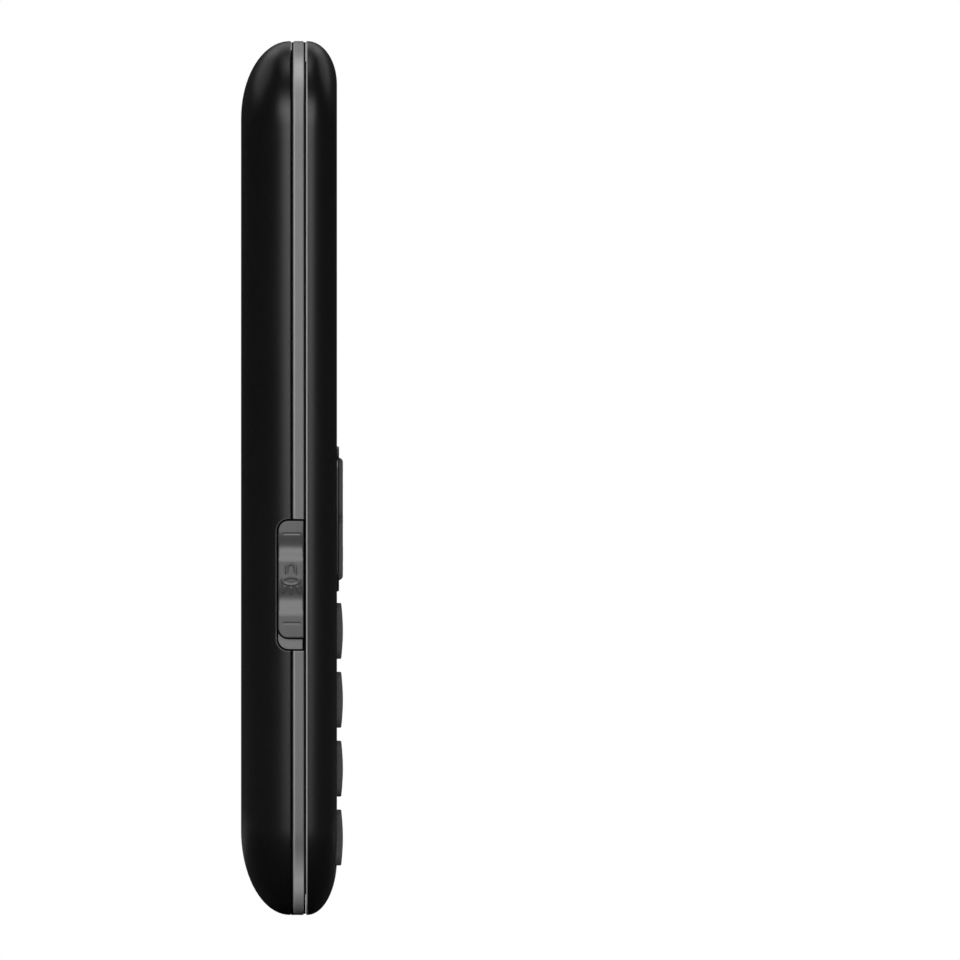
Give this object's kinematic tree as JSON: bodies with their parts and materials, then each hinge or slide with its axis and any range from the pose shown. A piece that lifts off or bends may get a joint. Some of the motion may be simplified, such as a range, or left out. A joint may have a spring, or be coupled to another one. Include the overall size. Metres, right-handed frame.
{
  "type": "mobile phone",
  "caption": "Slim bar keypad phone with rounded black shells, a grey side band, a sliding torch switch on its left side, a framed navigation pad and a lift-off back.",
  "frame": {"origin": "centre of the bottom end, at the bottom centre of the bounding box", "axes": "+Z along the phone from the microphone end to the earpiece, -Y out of the keypad face, +Y out of the back cover, +X to the right seen from the front"},
  "size_m": [0.0526, 0.0144, 0.124],
  "materials": {
    "housing_black": "fine moulded black plastic",
    "band_grey": "satin grey coat on moulded plastic",
    "chassis_black": "plain moulded black plastic",
    "key_black": "satin black plastic",
    "nav_frame": "gloss black plastic",
    "slider_grey": "satin grey plastic",
    "window_clear": "clear plastic, dark behind",
    "display_dark": "unlit liquid crystal panel",
    "mesh_dark": "fine black mesh",
    "speaker_black": "black plastic can",
    "silicone": "milky silicone",
    "dome_steel": "steel domes under clear film",
    "board_green": "solder mask over glass-fibre board",
    "steel": "plated steel",
    "battery_case": "wrapped metal can",
    "contact_block": "ivory moulding",
    "led_white": "white package with phosphor face"
  },
  "bodies": {
    "phone": {"front_housing": "housing_black", "side_band": "band_grey", "rear_chassis": "chassis_black", "housing_screws": "steel", "display_window": "window_clear", "display_module": "display_dark", "earpiece_grille": "mesh_dark", "earpiece": "speaker_black", "nav_surround": "nav_frame", "keypad_mat": "silicone", "dome_sheet": "dome_steel", "main_board": "board_green", "shield_cans": "steel", "battery": "battery_case", "battery_contacts": "contact_block", "loudspeaker": "speaker_black", "vibration_motor": "steel", "camera_module": "speaker_black", "usb_socket": "steel", "headphone_socket": "chassis_black", "microphone": "steel", "antenna": "contact_block", "torch_lens": "window_clear", "torch_led": "led_white", "torch_switch": "steel", "sim_socket_1": "steel", "sim_socket_2": "steel", "memory_card_socket": "steel"},
    "cover": {"back_cover": "housing_black", "camera_window": "window_clear"},
    "torch_button": {"torch_slider": "slider_grey", "torch_switch_lever": "contact_block"},
    "nav_tilt": {"nav_rocker": "silicone"},
    "nav_pad": {"nav_ring": "key_black"},
    "soft_key_left": {"soft_key_left": "key_black"},
    "soft_key_right": {"soft_key_right": "key_black"},
    "call_key": {"call_key": "key_black"},
    "end_key": {"end_key": "key_black"},
    "ok_key": {"ok_key": "key_black"},
    "key_1": {"key_1": "key_black"},
    "key_2": {"key_2": "key_black"},
    "key_3": {"key_3": "key_black"},
    "key_4": {"key_4": "key_black"},
    "key_5": {"key_5": "key_black"},
    "key_6": {"key_6": "key_black"},
    "key_7": {"key_7": "key_black"},
    "key_8": {"key_8": "key_black"},
    "key_9": {"key_9": "key_black"},
    "key_star": {"key_star": "key_black"},
    "key_0": {"key_0": "key_black"},
    "key_hash": {"key_hash": "key_black"}
  },
  "joints": [
    {"name": "cover_lift", "type": "slide", "parent": "phone", "child": "cover", "axis": [0, 1, 0], "range_m": [0, 0.025]},
    {"name": "torch_slide", "type": "slide", "parent": "phone", "child": "torch_button", "axis": [0, 0, -1], "range_m": [0, 0.0016]},
    {"name": "nav_up_down", "type": "hinge", "parent": "phone", "child": "nav_tilt", "pos_m": [0, -0.0042, 0.0562], "axis": [1, 0, 0], "range_deg": [-1.5, 1.5], "stiffness_Nm_per_rad": 0.2},
    {"name": "nav_left_right", "type": "hinge", "parent": "nav_tilt", "child": "nav_pad", "pos_m": [0, -0.0042, 0.0562], "axis": [0, 0, 1], "range_deg": [-1.5, 1.5], "stiffness_Nm_per_rad": 0.2},
    {"name": "soft_key_left_press", "type": "slide", "parent": "phone", "child": "soft_key_left", "axis": [0, 1, 0], "range_m": [0, 0.0003], "stiffness_N_per_m": 3000},
    {"name": "soft_key_right_press", "type": "slide", "parent": "phone", "child": "soft_key_right", "axis": [0, 1, 0], "range_m": [0, 0.0003], "stiffness_N_per_m": 3000},
    {"name": "call_key_press", "type": "slide", "parent": "phone", "child": "call_key", "axis": [0, 1, 0], "range_m": [0, 0.0003], "stiffness_N_per_m": 3000},
    {"name": "end_key_press", "type": "slide", "parent": "phone", "child": "end_key", "axis": [0, 1, 0], "range_m": [0, 0.0003], "stiffness_N_per_m": 3000},
    {"name": "ok_key_press", "type": "slide", "parent": "phone", "child": "ok_key", "axis": [0, 1, 0], "range_m": [0, 0.0003], "stiffness_N_per_m": 3000},
    {"name": "key_1_press", "type": "slide", "parent": "phone", "child": "key_1", "axis": [0, 1, 0], "range_m": [0, 0.0003], "stiffness_N_per_m": 3000},
    {"name": "key_2_press", "type": "slide", "parent": "phone", "child": "key_2", "axis": [0, 1, 0], "range_m": [0, 0.0003], "stiffness_N_per_m": 3000},
    {"name": "key_3_press", "type": "slide", "parent": "phone", "child": "key_3", "axis": [0, 1, 0], "range_m": [0, 0.0003], "stiffness_N_per_m": 3000},
    {"name": "key_4_press", "type": "slide", "parent": "phone", "child": "key_4", "axis": [0, 1, 0], "range_m": [0, 0.0003], "stiffness_N_per_m": 3000},
    {"name": "key_5_press", "type": "slide", "parent": "phone", "child": "key_5", "axis": [0, 1, 0], "range_m": [0, 0.0003], "stiffness_N_per_m": 3000},
    {"name": "key_6_press", "type": "slide", "parent": "phone", "child": "key_6", "axis": [0, 1, 0], "range_m": [0, 0.0003], "stiffness_N_per_m": 3000},
    {"name": "key_7_press", "type": "slide", "parent": "phone", "child": "key_7", "axis": [0, 1, 0], "range_m": [0, 0.0003], "stiffness_N_per_m": 3000},
    {"name": "key_8_press", "type": "slide", "parent": "phone", "child": "key_8", "axis": [0, 1, 0], "range_m": [0, 0.0003], "stiffness_N_per_m": 3000},
    {"name": "key_9_press", "type": "slide", "parent": "phone", "child": "key_9", "axis": [0, 1, 0], "range_m": [0, 0.0003], "stiffness_N_per_m": 3000},
    {"name": "key_star_press", "type": "slide", "parent": "phone", "child": "key_star", "axis": [0, 1, 0], "range_m": [0, 0.0003], "stiffness_N_per_m": 3000},
    {"name": "key_0_press", "type": "slide", "parent": "phone", "child": "key_0", "axis": [0, 1, 0], "range_m": [0, 0.0003], "stiffness_N_per_m": 3000},
    {"name": "key_hash_press", "type": "slide", "parent": "phone", "child": "key_hash", "axis": [0, 1, 0], "range_m": [0, 0.0003], "stiffness_N_per_m": 3000}
  ]
}
